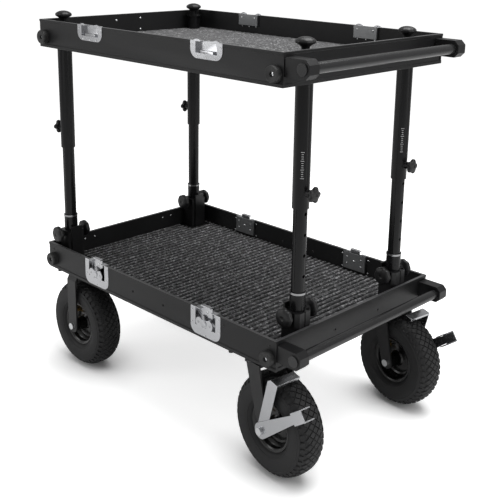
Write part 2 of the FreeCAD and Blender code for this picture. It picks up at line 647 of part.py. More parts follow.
for side, end in CORNERS:
    x = f"{ENDS[end]} * latch_place"
    z = f"{EDGE['lower']} - handle_drop"
    wing_inner = "(handle_thick - handle_proud)"
    deep, start = upright(side, wing_inner, "-handle_proud")
    round_end = "handle_tall / 2"
    reach = f"(handle_wide / 2 - {round_end})"
    pieces = [block(f"2 * {reach}", "handle_thick", "handle_waist", x,
                    from_side(side, f"{wing_inner} - handle_thick / 2"), f"{z} - handle_waist / 2")]
    pieces += [rod(round_end, deep, f"{x} + {way} * {reach}", start, z, "y") for way in (-1, 1)]
    boss_deep, boss_start = upright(side, wing_inner, "-handle_proud - handle_boss_proud")
    pieces.append(rod("handle_boss", boss_deep, x, boss_start, z, "y"))
    shaft_deep, shaft_start = upright(side, f"{FLOOR_IN} - face_gap", wing_inner)
    pieces.append(rod("handle_shaft", shaft_deep, x, shaft_start, z, "y"))
    node(f"latch_handle_{side}_{end}", joined(*pieces))

    claw_mid = f"{FLOOR_IN} - face_gap - claw_thick / 2"
    plate = block("claw_wide", "claw_thick", "claw_low + claw_high", x, from_side(side, claw_mid),
                  f"{EDGE['lower']} - claw_low")
    hook = block("claw_wide", "claw_hook + claw_thick", "claw_thick", x,
                 from_side(side, f"{claw_mid} - claw_hook / 2"), f"{EDGE['lower']} + claw_high - claw_thick")
    node(f"latch_claw_{side}_{end}", joined(plate, hook))


# Casters: the pair at the handle end swivels and is braked, and the other pair is rigid. A swivel
# caster is drawn with its swivel axis on the origin and its wheel trailing towards +X, and then
# turned to its heading. The top plates and upper bearing races belong to the cart.
PLATE_LOW = "(tray_floor_gap + deck_rise - plate_thick)"
RACE_LOW = f"({PLATE_LOW} - race_thick)"
CROWN_TOP = f"({RACE_LOW} - race_thick)"
CROWN_LOW = f"({CROWN_TOP} - crown_thick)"
LEG_IN = "(wheel_wide / 2 + leg_gap)"
LEG_OUT = f"({LEG_IN} + leg_thick)"
LEG_FACES = ((LEG_OUT, LEG_IN), (f"-{LEG_IN}", f"-{LEG_OUT}"))
AXLE_Z = "wheel_radius"
BRAKED = {("near", "right"): -1, ("far", "right"): 1}


def caster_place(side, end):
    """The swivel axis at the handle end, and the middle of the axle at the other end."""
    kind = "swivel" if end == "right" else "rigid"
    return (f"({ENDS[end]} * (tray_length / 2 - {kind}_inset_x))",
            f"({SIDES[side]} * (tray_width / 2 - {kind}_inset_y))")


def top_plate(side, end):
    x, y = caster_place(side, end)
    plate = block("plate_long", "plate_wide", "plate_thick", x, y, PLATE_LOW)
    if end == "left":
        return plate
    return cut(joined(plate, rod("race_radius", "race_thick", x, y, RACE_LOW)),
               rod("kingpin + pin_gap", "race_thick + plate_thick", x, y, RACE_LOW))


node("caster_plates", group(*[top_plate(*corner) for corner in CORNERS]))


def axle_bolt(x, low, high):
    """The bolt through hub and legs with a nut on each end."""
    return [rod("axle_radius", f"{low} + {high} + 2 * nut_thick", x, f"-{low} - nut_thick", AXLE_Z, "y"),
            rod("nut_radius", "nut_thick", x, high, AXLE_Z, "y"),
            rod("nut_radius", "nut_thick", x, f"-{low} - nut_thick", AXLE_Z, "y")]


def swivel_fork(braked_side):
    """Crown, two slanting legs, kingpin and axle bolt."""
    crown = block("crown_front + crown_back", f"2 * {LEG_OUT}", "crown_thick",
                  "(crown_front - crown_back) / 2", "0", CROWN_LOW)
    race = rod("race_radius", "race_thick - face_gap", "0", "0", CROWN_TOP)
    pin = rod("kingpin", "2 * race_thick + plate_thick", "0", "0", CROWN_TOP)
    outline = [("-leg_top_back", CROWN_TOP), ("leg_top_front", CROWN_TOP),
               ("trail + leg_end", AXLE_Z), ("trail - leg_end", AXLE_Z)]
    pieces = [crown, race, pin]
    for far_face, start in LEG_FACES:
        leg = padded("XZ_Plane", outline, "leg_thick")
        place(leg, "0", far_face, "0")
        pieces += [leg, rod("leg_end", "leg_thick", "trail", start, AXLE_Z, "y")]
    stack = {way: LEG_OUT for way in (-1, 1)}
    stack[braked_side] = f"({LEG_OUT} + 2 * brake_thick + 3 * brake_play)"
    return joined(*pieces, *axle_bolt("trail", stack[-1], stack[1]))


def rigid_fork():
    """A bracket bent from one plate: a flat top that slopes out into two upright legs."""
    top_out = f"({LEG_OUT} - rigid_shoulder)"
    slope_low = f"({PLATE_LOW} - rigid_slope)"
    outside = [(LEG_OUT, AXLE_Z), (LEG_OUT, slope_low), (top_out, PLATE_LOW)]
    inside = [(f"({top_out} - rigid_crook)", f"({PLATE_LOW} - leg_thick)"),
              (LEG_IN, f"({slope_low} - rigid_corner)"), (LEG_IN, AXLE_Z)]
    outline = outside + [(f"-{y}", z) for y, z in reversed(outside)]
    outline += [(f"-{y}", z) for y, z in reversed(inside)] + inside
    bracket = padded("YZ_Plane", outline, "rigid_leg")
    place(bracket, "-rigid_leg / 2", "0", "0")
    ends = [rod("rigid_leg / 2", "leg_thick", "0", start, AXLE_Z, "y") for _, start in LEG_FACES]
    return joined(bracket, *ends, *axle_bolt("0", LEG_OUT, LEG_OUT))


def rim():
    """A pressed channel with a drop centre, and a disc with its hub, welded into it, about the axle."""
    seat_in = "(bead_radius - rim_wall)"
    well_in = "(well_radius - rim_wall)"
    hub_half = f"({LEG_IN} - hub_play)"
    lip_out = "(bead_half + lip_thick + fit_gap)"
    lip_in = "(bead_half + fit_gap)"
    slope = "(well_half + well_slope)"
    half = [(lip_in, "lip_radius"), (lip_out, "lip_radius"), (lip_out, seat_in),
            (f"({slope} + slope_shift)", seat_in), ("(well_half - slope_shift)", well_in)]
    outer = [(f"-{lip_in}", "bead_radius"), (f"-{slope}", "bead_radius"), ("-well_half", "well_radius"),
             ("well_half", "well_radius"), (slope, "bead_radius"), (lip_in, "bead_radius")]
    mirrored = [(f"-{a}", b) for a, b in reversed(half)]
    channel = turned("YZ_Plane", outer + half + mirrored, "H_Axis")
    disc = cut(joined(rod(well_in, "disc_thick", "0", "-disc_thick / 2", "0", "y"),
                      rod("wheel_hub", f"2 * {hub_half}", "0", f"-{hub_half}", "0", "y")),
               rod("axle_radius + pin_gap", f"2 * {hub_half}", "0", f"-{hub_half}", "0", "y"))
    return group(channel, disc)


def tyre():
    """A tyre shell of superellipse section, open towards the rim."""
    middle = "(wheel_radius + bead_radius) / 2"
    squareness = 0.8
    first = -46
    last = 180 - first
    outside_steps = 14
    inside_steps = 8

    def arc(inset, steps):
        for step in range(steps + 1):
            angle = math.radians(first + (last - first) * step / steps)
            across = math.copysign(abs(math.cos(angle)) ** squareness, math.cos(angle))
            out = math.copysign(abs(math.sin(angle)) ** squareness, math.sin(angle))
            yield (f"{across:.5f} * (wheel_wide / 2 - {inset})",
                   f"{middle} + {out:.5f} * ((wheel_radius - bead_radius) / 2 - {inset})")

    outside = list(arc("0", outside_steps))
    inside = list(arc("tyre_wall", inside_steps))
    over_lip = "lip_radius + fit_gap"
    outline = [("bead_half", "bead_radius"), ("bead_half", over_lip), *outside, ("-bead_half", over_lip),
               ("-bead_half", "bead_radius"), ("tyre_wall - bead_half", "bead_radius"), *reversed(inside),
               ("bead_half - tyre_wall", "bead_radius")]
    return turned("YZ_Plane", outline, "H_Axis")


for side, end in CORNERS:
    corner = f"{side}_{end}"
    x, y = caster_place(side, end)
    if end == "left":
        node(f"caster_fork_{corner}", rigid_fork(), x, y)
        node(f"rim_{corner}", rim(), x, y, AXLE_Z)
        node(f"tyre_{corner}", tyre(), x, y, AXLE_Z)
        continue

    out = BRAKED[side, end]
    turn = {"axis": (0, 0, 1), "angle": f"{corner}_heading"}
    node(f"caster_fork_{corner}", swivel_fork(out), x, y, "0", **turn)
    node(f"rim_{corner}", group(place(rim(), "trail", "0", AXLE_Z)), x, y, "0", **turn)
    node(f"tyre_{corner}", group(place(tyre(), "trail", "0", AXLE_Z)), x, y, "0", **turn)

    # Parking brake: the lever turns on the axle and draws the stirrup down onto the tread.
    tread = "(wheel_radius + brake_clear)"
    first = f"({LEG_OUT} + brake_play)"
    start = first if out > 0 else f"-{first} - brake_thick"
    middle = f"{out} * ({first} + brake_thick / 2)"
    half = "brake_wide / 2"
    top = f"{tread} + brake_thick"
    outline = [(f"-{half}", "0"), (f"-{half}", f"{top} - brake_bevel"), (f"brake_bevel - {half}", top),
               (half, top), (half, "0")]
    plate = padded("XZ_Plane", outline, "brake_thick")
    place(plate, "0", f"{start} + brake_thick", "0")
    foot = rod("brake_foot", "brake_thick", "0", start, "0", "y")
    shoe_wide = f"({first} + brake_thick + shoe_past)"
    shoe_middle = f"{out} * ({first} + brake_thick - {shoe_wide} / 2)"
    shoe = block("brake_wide - brake_bevel", shoe_wide, "brake_thick", "brake_bevel / 2", shoe_middle,
                 tread)
    lip = block("brake_thick", shoe_wide, "brake_lip", f"({half} - brake_thick / 2)", shoe_middle,
                f"{tread} - brake_lip")
    slot = [rod("axle_radius + pin_gap", THROUGH_PLATE, "0", f"{start} - brake_thick", rise, "y")
            for rise in ("0", "brake_slot")]
    slot.append(block("2 * (axle_radius + pin_gap)", THROUGH_PLATE, "brake_slot", "0", middle, "0"))
    stirrup = cut(joined(plate, foot, shoe, lip), *slot)
    place(stirrup, "trail", "0", AXLE_Z, (0, 1, 0), "brake_tilt")
    node(f"brake_stirrup_{corner}", group(stirrup), x, y, "0", **turn)

    second = f"({first} + brake_thick + brake_play)"
    start = second if out > 0 else f"-{second} - brake_thick"
    middle = f"{out} * ({second} + brake_thick / 2)"
    outline = [("0", "-lever_hub"), ("0", "lever_hub"), ("lever_reach", "lever_wide / 2"),
               ("lever_reach", "-lever_wide / 2")]
    arm = padded("XZ_Plane", outline, "brake_thick")
    place(arm, "0", f"{start} + brake_thick", "0")
    hub = rod("lever_hub", "brake_thick", "0", start, "0", "y")
    pedal_x = "lever_reach + pedal_long / 2"
    web = block("pedal_long", "brake_thick", "pedal_tall", pedal_x, middle, "-pedal_tall / 2")
    tabs = [block("pedal_long", "pedal_wide", "brake_thick", pedal_x,
                  f"{out} * ({second} + brake_thick - pedal_wide / 2)", rise)
            for rise in ("-pedal_tall / 2", "pedal_tall / 2 - brake_thick")]
    bore = rod("axle_radius + pin_gap", THROUGH_PLATE, "0", f"{start} - brake_thick", "0", "y")
    lever = cut(joined(arm, hub, web, *tabs), bore)
    place(lever, "trail", "0", AXLE_Z, (0, 1, 0), "-lever_tilt")
    node(f"brake_lever_{corner}", group(lever), x, y, "0", **turn)


# The origin: on the floor, under the middle of the cart's bounding box.
doc.recompute()
whole = Part.makeCompound([thing.Shape for thing in NODES.values()]).BoundBox
for alias, middle in (("origin_x", whole.Center.x), ("origin_y", whole.Center.y)):
    sheet.set(sheet.getCellFromAlias(alias), f"{-middle:.4f}")
doc.recompute()

for thing in doc.Objects:
    if "Invalid" in thing.State or "Error" in thing.State:
        raise RuntimeError(f"{thing.Label} did not compute")
for label, thing in NODES.items():
    if thing.Shape.isNull() or not thing.Shape.isValid():
        raise RuntimeError(f"{label} has a bad shape")

os.makedirs("parts", exist_ok=True)
for label, thing in NODES.items():
    thing.Shape.exportStep(f"parts/{label}.step")

whole = Part.makeCompound([thing.Shape for thing in NODES.values()]).BoundBox
print(f"{len(NODES)} pieces, {whole.XLength:.1f} x {whole.YLength:.1f} x {whole.ZLength:.1f} mm, "
      f"lowest point {whole.ZMin:.3f}")
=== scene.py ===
import json
from math import atan2, cos, hypot, pi, radians, sin, tau

import bmesh
import bpy
from mathutils import Matrix, Vector, noise

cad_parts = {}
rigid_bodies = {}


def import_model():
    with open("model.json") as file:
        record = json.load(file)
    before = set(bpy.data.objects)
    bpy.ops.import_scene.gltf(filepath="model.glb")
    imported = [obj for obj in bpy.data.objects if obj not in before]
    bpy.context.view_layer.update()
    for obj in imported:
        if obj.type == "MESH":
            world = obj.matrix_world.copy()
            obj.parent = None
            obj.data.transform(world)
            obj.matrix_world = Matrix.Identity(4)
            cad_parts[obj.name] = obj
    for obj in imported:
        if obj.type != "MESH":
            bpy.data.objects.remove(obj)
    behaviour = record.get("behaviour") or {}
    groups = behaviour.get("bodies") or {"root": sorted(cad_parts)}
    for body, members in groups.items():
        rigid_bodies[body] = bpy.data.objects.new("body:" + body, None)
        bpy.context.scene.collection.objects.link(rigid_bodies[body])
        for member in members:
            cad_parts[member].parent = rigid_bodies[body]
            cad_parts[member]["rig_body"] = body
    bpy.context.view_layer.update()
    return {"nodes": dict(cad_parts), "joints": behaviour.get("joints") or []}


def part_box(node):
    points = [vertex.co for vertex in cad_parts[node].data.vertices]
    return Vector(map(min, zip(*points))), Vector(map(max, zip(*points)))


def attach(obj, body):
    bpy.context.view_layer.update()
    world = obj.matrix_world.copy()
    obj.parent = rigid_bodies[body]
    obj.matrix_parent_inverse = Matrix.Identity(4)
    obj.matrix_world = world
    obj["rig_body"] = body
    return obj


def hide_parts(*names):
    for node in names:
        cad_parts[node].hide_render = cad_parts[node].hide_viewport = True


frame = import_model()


# The studio: a white paper floor whose glow, seen by the camera, is dimmed by ambient occlusion into a
# painted shadow close under the wheels, a white surround, one large soft lamp overhead and two at the
# sides, and a camera above the near corner of the handle end.
def studio_floor():
    made = bmesh.new()
    bmesh.ops.create_grid(made, x_segments=1, y_segments=1, size=30)
    mesh = bpy.data.meshes.new("studio_floor")
    made.to_mesh(mesh)
    made.free()
    floor = bpy.data.objects.new("studio_floor", mesh)
    bpy.context.scene.collection.objects.link(floor)
    paper = bpy.data.materials.new("floor_paper")
    paper.use_nodes = True
    tree = paper.node_tree
    tree.nodes.clear()
    out = tree.nodes.new("ShaderNodeOutputMaterial")
    lit = tree.nodes.new("ShaderNodeBsdfDiffuse")
    fibre = tree.nodes.new("ShaderNodeTexNoise")
    fibre.inputs["Scale"].default_value = 60
    tone = tree.nodes.new("ShaderNodeMapRange")
    tone.inputs["To Min"].default_value = 0.91
    tone.inputs["To Max"].default_value = 0.95
    tree.links.new(fibre.outputs["Fac"], tone.inputs["Value"])
    tree.links.new(tone.outputs["Result"], lit.inputs["Color"])
    glow = tree.nodes.new("ShaderNodeEmission")
    # The camera's glow is scaled by ambient occlusion: a painted shadow that darkens the floor close under
    # the cart.
    open_sky = tree.nodes.new("ShaderNodeAmbientOcclusion")
    open_sky.inputs["Distance"].default_value = 0.15
    painted_shadow_glow = tree.nodes.new("ShaderNodeMapRange")
    painted_shadow_glow.inputs["From Min"].default_value = 0.4
    painted_shadow_glow.inputs["From Max"].default_value = 0.95
    painted_shadow_glow.inputs["To Max"].default_value = 0.64
    ray = tree.nodes.new("ShaderNodeLightPath")
    part = tree.nodes.new("ShaderNodeMath")
    part.operation = "MULTIPLY"
    tree.links.new(open_sky.outputs["AO"], painted_shadow_glow.inputs["Value"])
    tree.links.new(ray.outputs["Is Camera Ray"], part.inputs[0])
    tree.links.new(painted_shadow_glow.outputs["Result"], part.inputs[1])
    tree.links.new(part.outputs[0], glow.inputs["Strength"])
    both = tree.nodes.new("ShaderNodeAddShader")
    tree.links.new(lit.outputs[0], both.inputs[0])
    tree.links.new(glow.outputs[0], both.inputs[1])
    tree.links.new(both.outputs[0], out.inputs["Surface"])
    mesh.materials.append(paper)


def surround():
    world = bpy.data.worlds.new("surround")
    bpy.context.scene.world = world
    world.use_nodes = True
    tree = world.node_tree
    tree.nodes.clear()
    out = tree.nodes.new("ShaderNodeOutputWorld")
    soft = tree.nodes.new("ShaderNodeBackground")
    soft.inputs["Strength"].default_value = 0.55
    white = tree.nodes.new("ShaderNodeBackground")
    white.inputs["Strength"].default_value = 1.0
    ray = tree.nodes.new("ShaderNodeLightPath")
    mix = tree.nodes.new("ShaderNodeMixShader")
    tree.links.new(ray.outputs["Is Camera Ray"], mix.inputs["Fac"])
    tree.links.new(soft.outputs[0], mix.inputs[1])
    tree.links.new(white.outputs[0], mix.inputs[2])
    tree.links.new(mix.outputs[0], out.inputs["Surface"])


def softbox(name, place, aim, wide, tall, power):
    lamp = bpy.data.lights.new(name, "AREA")
    lamp.shape = "RECTANGLE"
    lamp.size = wide
    lamp.size_y = tall
    lamp.energy = power
    box = bpy.data.objects.new(name, lamp)
    bpy.context.scene.collection.objects.link(box)
    box.location = place
    box.rotation_euler = (Vector(aim) - Vector(place)).to_track_quat("-Z", "Y").to_euler()


studio_floor()
surround()
softbox("lamp_over", (0.5, 0.5, 3.4), (0, 0, 0.6), 2.6, 2.2, 95)
softbox("lamp_left", (-2.2, -2.6, 1.7), (0, 0, 0.6), 1.2, 2.2, 20)
softbox("lamp_right", (3.2, 0.4, 1.6), (0, 0, 0.6), 1.0, 2.2, 20)

near_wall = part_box("lower_near_rail")
far_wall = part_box("lower_far_rail")
mid = Vector(((near_wall[0].x + near_wall[1].x) / 2, (near_wall[0].y + far_wall[1].y) / 2, 0))
lower_edge = near_wall[1].z
upper_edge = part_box("upper_near_rail")[1].z

lens = bpy.data.cameras.new("studio_camera")
camera = bpy.data.objects.new("studio_camera", lens)
bpy.context.scene.collection.objects.link(camera)
bpy.context.scene.camera = camera
focal_pixels, picture_pixels = 878.6, 500
lens.sensor_width = 36
lens.lens = 36 * focal_pixels / picture_pixels
lens.shift_y = -0.17
past_middle, before_middle, above_tray = 1.6713, -1.6280, 0.8766
camera.location = mid + Vector((past_middle, before_middle, lower_edge + above_tray))
yaw, pitch, roll = (radians(a) for a in (44.448, 14.578, 0.945))
camera.rotation_euler = (Matrix.Rotation(yaw, 3, "Z") @ Matrix.Rotation(pi / 2 - pitch, 3, "X")
                         @ Matrix.Rotation(roll, 3, "Z")).to_euler()
lens.clip_end = 60
bpy.context.scene.view_settings.view_transform = "Standard"


# Tray walls: extruded aluminium with a bead along the top and a foot along the bottom, powder coated
# satin black. The long walls run full length and the end walls fit between them, screwed to the deck.
def coated(name, colour, rough, grain, depth, metal=0.0, clouding=0.25, gloss_coat=0.0, shine=0.5):
    """Paint, plating, plastic or rubber: a fine grain under slow changes of tone and of gloss."""
    surface = bpy.data.materials.new(name)
    surface.use_nodes = True
    tree = surface.node_tree
    shade = tree.nodes["Principled BSDF"]
    shade.inputs["Metallic"].default_value = metal
    shade.inputs["Specular IOR Level"].default_value = shine
    shade.inputs["Coat Weight"].default_value = gloss_coat
    shade.inputs["Coat Roughness"].default_value = 0.08
    where = tree.nodes.new("ShaderNodeTexCoord")
    cloud = tree.nodes.new("ShaderNodeTexNoise")
    cloud.inputs["Scale"].default_value = 9
    cloud.inputs["Detail"].default_value = 5
    tone = tree.nodes.new("ShaderNodeMix")
    tone.data_type = "RGBA"
    tone.inputs["A"].default_value = (*[c * (1 - clouding) for c in colour], 1)
    tone.inputs["B"].default_value = (*[min(1, c * (1 + clouding)) for c in colour], 1)
    gloss = tree.nodes.new("ShaderNodeMapRange")
    gloss.inputs["To Min"].default_value = rough - 0.05
    gloss.inputs["To Max"].default_value = rough + 0.05
    fine = tree.nodes.new("ShaderNodeTexNoise")
    fine.inputs["Scale"].default_value = grain
    fine.inputs["Detail"].default_value = 3
    bump = tree.nodes.new("ShaderNodeBump")
    bump.inputs["Distance"].default_value = depth
    for texture in (cloud, fine):
        tree.links.new(where.outputs["Object"], texture.inputs["Vector"])
    tree.links.new(cloud.outputs["Fac"], tone.inputs["Factor"])
    tree.links.new(tone.outputs["Result"], shade.inputs["Base Color"])
    tree.links.new(cloud.outputs["Fac"], gloss.inputs["Value"])
    tree.links.new(gloss.outputs["Result"], shade.inputs["Roughness"])
    tree.links.new(fine.outputs["Fac"], bump.inputs["Height"])
    tree.links.new(bump.outputs["Normal"], shade.inputs["Normal"])
    return surface


def piece_of(name, made, surfaces, body, stands_for=(), edge=0.0, sharp=32):
    """Makes the finished piece, which rides on its body and may stand for some CAD nodes."""
    mesh = bpy.data.meshes.new(name)
    made.to_mesh(mesh)
    made.free()
    mesh.shade_smooth()
    mesh.set_sharp_from_angle(angle=radians(sharp))
    for surface in surfaces:
        mesh.materials.append(surface)
    piece = bpy.data.objects.new(name, mesh)
    bpy.context.scene.collection.objects.link(piece)
    if edge:
        rounding = piece.modifiers.new("rounded_edges", "BEVEL")
        rounding.width = edge
        rounding.segments = 2
        rounding.limit_method = "ANGLE"
        rounding.angle_limit = radians(38)
        rounding.harden_normals = True
    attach(piece, body)
    if stands_for:
        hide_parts(*stands_for)
    return piece


def worked_copy(node):
    """A merged copy of a CAD piece, for its edges to be rounded."""
    made = bmesh.new()
    made.from_mesh(frame["nodes"][node].data)
    bmesh.ops.remove_doubles(made, verts=made.verts, dist=2e-6)
    bmesh.ops.dissolve_limit(made, angle_limit=radians(0.4), verts=made.verts, edges=made.edges)
    for face in made.faces:
        face.material_index = 0
    return made


def body_of(node):
    return frame["nodes"][node]["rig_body"]


wall_black = coated("wall_powder_coat", (0.011, 0.011, 0.0115), 0.4, 1500, 0.00006, shine=0.28)
# A lighter copy of the wall's black for the bead's upward faces: a painted highlight along the top of each
# wall.
bead_painted_highlight = coated("wall_bead_painted_highlight", (0.055, 0.055, 0.057), 0.34, 1500, 0.00006)
bead_tall = 0.0065
for tray in ("lower", "upper"):
    for wall in ("near_rail", "far_rail", "end_rails"):
        node = f"{tray}_{wall}"
        made = worked_copy(node)
        bead_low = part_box(node)[1].z - bead_tall
        # Faces that look up within the bead's height take the painted highlight.
        for face in made.faces:
            lit_from_above = face.normal.z > 0.5 and all(point.co.z > bead_low for point in face.verts)
            face.material_index = 1 if lit_from_above else 0
        piece_of(f"{node}_coated", made, [wall_black, bead_painted_highlight], body_of(node), [node],
                 edge=0.0009)


# Decks: a black phenolic faced board in each tray, slotted between the walls and screwed from below.
board_black = coated("deck_board_face", (0.012, 0.012, 0.012), 0.6, 420, 0.0001)
for tray in ("lower", "upper"):
    node = f"{tray}_deck"
    piece_of(f"{node}_board", worked_copy(node), [board_black], body_of(node), [node])


# Mats: the lower one is a corded carpet whose ribs run across the cart, the upper one a looped carpet.
# Both are charcoal yarn flecked with grey, glued down, and the lower one is notched at the clamps.
def carpet_yarn(name, dark, light, fleck, share, loop):
    """Yarn: flecks of a lighter thread, painted shade between the loops from the mesh's shade colours, and a
    fine fibre bump.
    """
    surface = bpy.data.materials.new(name)
    surface.use_nodes = True
    tree = surface.node_tree
    shade = tree.nodes["Principled BSDF"]
    shade.inputs["Roughness"].default_value = 0.95
    shade.inputs["Specular IOR Level"].default_value = 0.15
    shade.inputs["Sheen Weight"].default_value = 0.25
    where = tree.nodes.new("ShaderNodeTexCoord")
    loops = tree.nodes.new("ShaderNodeTexVoronoi")
    loops.inputs["Scale"].default_value = loop
    pick = tree.nodes.new("ShaderNodeSeparateColor")
    chosen = tree.nodes.new("ShaderNodeMapRange")
    chosen.inputs["From Min"].default_value = 1 - share
    chosen.inputs["From Max"].default_value = 1 - share + 0.25
    base = tree.nodes.new("ShaderNodeMix")
    base.data_type = "RGBA"
    base.inputs["A"].default_value = (*dark, 1)
    base.inputs["B"].default_value = (*light, 1)
    bright = tree.nodes.new("ShaderNodeMix")
    bright.data_type = "RGBA"
    bright.inputs["B"].default_value = (*fleck, 1)
    hollow = tree.nodes.new("ShaderNodeAttribute")
    hollow.attribute_name = "painted_hollow_shade"
    painted_shade_mix = tree.nodes.new("ShaderNodeMix")
    painted_shade_mix.data_type = "RGBA"
    painted_shade_mix.blend_type = "MULTIPLY"
    painted_shade_mix.inputs["Factor"].default_value = 1
    fibre = tree.nodes.new("ShaderNodeTexNoise")
    fibre.inputs["Scale"].default_value = 900
    fibre.inputs["Detail"].default_value = 4
    bump = tree.nodes.new("ShaderNodeBump")
    bump.inputs["Distance"].default_value = 0.0009
    for texture in (loops, fibre):
        tree.links.new(where.outputs["Object"], texture.inputs["Vector"])
    tree.links.new(loops.outputs["Color"], pick.inputs["Color"])
    tree.links.new(pick.outputs["Red"], base.inputs["Factor"])
    tree.links.new(pick.outputs["Green"], chosen.inputs["Value"])
    tree.links.new(base.outputs["Result"], bright.inputs["A"])
    tree.links.new(chosen.outputs["Result"], bright.inputs["Factor"])
    tree.links.new(bright.outputs["Result"], painted_shade_mix.inputs["A"])
    # The shade colours on the mesh multiply in painted shade: darker between the ribs and loops and on the
    # sides.
    tree.links.new(hollow.outputs["Color"], painted_shade_mix.inputs["B"])
    tree.links.new(painted_shade_mix.outputs["Result"], shade.inputs["Base Color"])
    tree.links.new(fibre.outputs["Fac"], bump.inputs["Height"])
    tree.links.new(bump.outputs["Normal"], shade.inputs["Normal"])
    return surface


def mat_shape(node, long_step, wide_step):
    """A finely divided sheet as large as the mat, at the mat's foot."""
    low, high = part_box(node)
    made = bmesh.new()
    bmesh.ops.create_grid(made, x_segments=round((high.x - low.x) / long_step),
                          y_segments=round((high.y - low.y) / wide_step), size=0.5)
    bmesh.ops.scale(made, verts=made.verts, vec=(high.x - low.x, high.y - low.y, 1))
    bmesh.ops.translate(made, verts=made.verts, vec=((low.x + high.x) / 2, (low.y + high.y) / 2, low.z))
    return made


def finish_mat(made, name, node, height_at, surface):
    """Raises the sheet to the mat's face, less what height_at takes off, closes its sides and foot, and
    stores painted shade on its points.
    """
    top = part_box(node)[1].z
    painted_hollow_shade = made.verts.layers.float_color.new("painted_hollow_shade")
    rim = [e for e in made.edges if e.is_boundary]
    skirt = bmesh.ops.extrude_edge_only(made, edges=rim)["geom"]
    foot = {item for item in skirt if isinstance(item, bmesh.types.BMVert)}
    for point in made.verts:
        # The mat's sides and foot take a fixed painted shade.
        if point in foot:
            point[painted_hollow_shade] = (0.3, 0.3, 0.3, 1)
            continue
        sunk, light = height_at(point.co.x, point.co.y)
        point.co.z = top - sunk
        point[painted_hollow_shade] = (light, light, light, 1)
    bmesh.ops.holes_fill(made, edges=[e for e in made.edges if e.is_boundary], sides=0)
    bmesh.ops.recalc_face_normals(made, faces=made.faces)
    piece_of(name, made, [surface], body_of(node), [node], sharp=60)


RIB = 0.01734


def rib_height(x, y):
    """How far the yarn lies below the mat's face and how light its painted shade leaves it: cords, each lumpy
    with loops.
    """
    phase = ((x - mid.x) / RIB + 0.12 * noise.noise(Vector((x * 8, y * 8, 0)))) % 1
    round_top = abs(sin(pi * phase))
    lump = noise.noise(Vector((x * 90, y * 130, 3)))
    fine = noise.noise(Vector((x * 260, y * 300, 7)))
    sunk = 0.0042 * (1 - round_top ** 0.6) + 0.0012 * (0.5 - lump) + 0.0004 * (0.5 - fine)
    # Painted shade: lighter on the cords' tops and raised lumps, darker down between the cords.
    light = 1.15 * round_top ** 1.6 + 0.5 * lump - 0.05
    return max(0.0, min(0.006, sunk)), max(0.02, min(1.0, light))


def loop_height(x, y):
    """The same for loops a few millimetres across, in no order."""
    coarse = noise.noise(Vector((x * 150, y * 150, 1)))
    fine = noise.noise(Vector((x * 330, y * 330, 5)))
    sunk = 0.0016 * (0.6 - coarse) + 0.0008 * (0.5 - fine)
    # Painted shade: lighter where the loops stand higher, darker where they sink.
    light = 0.72 + 0.7 * coarse + 0.3 * fine
    return max(0.0, min(0.005, sunk)), max(0.25, min(1.0, light))


corded = carpet_yarn("corded_carpet", (0.012, 0.012, 0.013), (0.11, 0.11, 0.115), (0.5, 0.5, 0.51), 0.26, 250)
made = mat_shape("lower_carpet", RIB / 7, 0.0052)
half_long, half_wide = 0.449, 0.297
notch_long, notch_wide = 0.064, 0.084
latch_x, pan_half, pan_deep = 0.222, 0.040, 0.0158
post_y = {("right", -1): -0.189, ("right", 1): 0.189, ("left", -1): -0.241, ("left", 1): 0.241}
cuts_x = [mid.x + way * (half_long - notch_long) for way in (-1, 1)]
cuts_x += [mid.x + way * latch_x + side * pan_half for way in (-1, 1) for side in (-1, 1)]
cuts_y = [mid.y + centre + side * notch_wide / 2 for centre in post_y.values() for side in (-1, 1)]
cuts_y += [mid.y + way * (half_wide - pan_deep) for way in (-1, 1)]
for spot, square_to in [((x, 0, 0), (1, 0, 0)) for x in cuts_x] + [((0, y, 0), (0, 1, 0)) for y in cuts_y]:
    bmesh.ops.bisect_plane(made, geom=[*made.verts, *made.edges, *made.faces], dist=1e-6, plane_co=spot,
                           plane_no=square_to)


def in_notch(point):
    """True where the mat is cut away for a clamp or for the pan behind a latch."""
    x, y = point.x - mid.x, point.y - mid.y
    if abs(y) > half_wide - pan_deep and any(abs(x - way * latch_x) < pan_half for way in (-1, 1)):
        return True
    end = "right" if x > 0 else "left"
    beside_post = any(abs(y - post_y[end, side]) < notch_wide / 2 for side in (-1, 1))
    return abs(x) > half_long - notch_long and beside_post


bmesh.ops.delete(made, geom=[f for f in made.faces if in_notch(f.calc_center_median())], context="FACES")
finish_mat(made, "lower_mat", "lower_carpet", rib_height, corded)

looped = carpet_yarn("looped_carpet", (0.014, 0.014, 0.015), (0.12, 0.12, 0.125), (0.5, 0.5, 0.5), 0.22, 240)
made = mat_shape("upper_carpet", 0.0042, 0.0042)
finish_mat(made, "upper_mat", "upper_carpet", loop_height, looped)


# Post clamps: sawn from extruded bar, split down the outboard face, on a folded foot plate with a
# taller plate behind. Black anodised, with the saw's fine lines left in the surface.
clamp_black = coated("clamp_anodised", (0.008, 0.008, 0.0085), 0.32, 900, 0.00006, shine=0.4)
piece_of("clamps_anodised", worked_copy("post_clamps"), [clamp_black], body_of("post_clamps"),
         ["post_clamps"], edge=0.0008)


